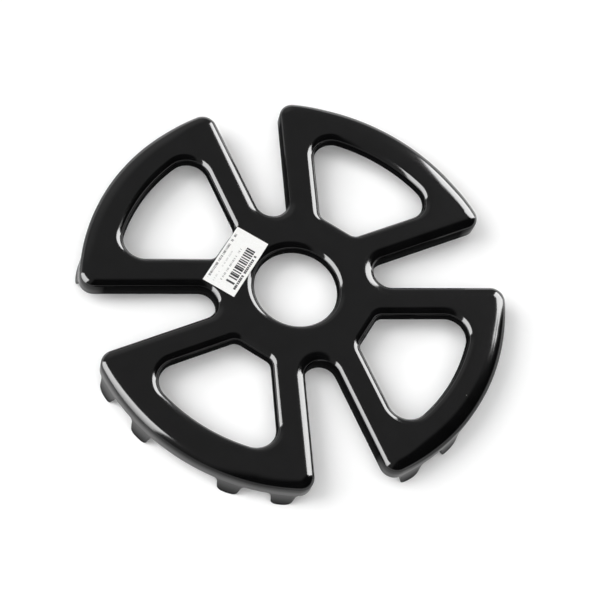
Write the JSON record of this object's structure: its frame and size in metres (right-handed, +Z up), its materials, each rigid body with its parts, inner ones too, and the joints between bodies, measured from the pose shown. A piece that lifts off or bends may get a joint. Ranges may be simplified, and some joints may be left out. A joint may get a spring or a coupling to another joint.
{
  "type": "gas hob reducer",
  "caption": "Round black enamelled steel trivet ring with windowed arms, open slots and a hub hole, set on a hob's pan support to carry a small pot.",
  "frame": {"origin": "centre of the circle that the feet stand on, at the level of the foot tips", "axes": "+Z up through the hub hole towards the pan, X and Y along the arms, the label on the -X arm"},
  "size_m": [0.14, 0.14, 0.0133],
  "materials": {
    "enamel": "glossy vitreous enamel on pressed steel",
    "label_paper": "satin coated paper"
  },
  "bodies": {
    "root": {"reducer_body": "enamel", "barcode_label": "label_paper"}
  },
  "joints": []
}
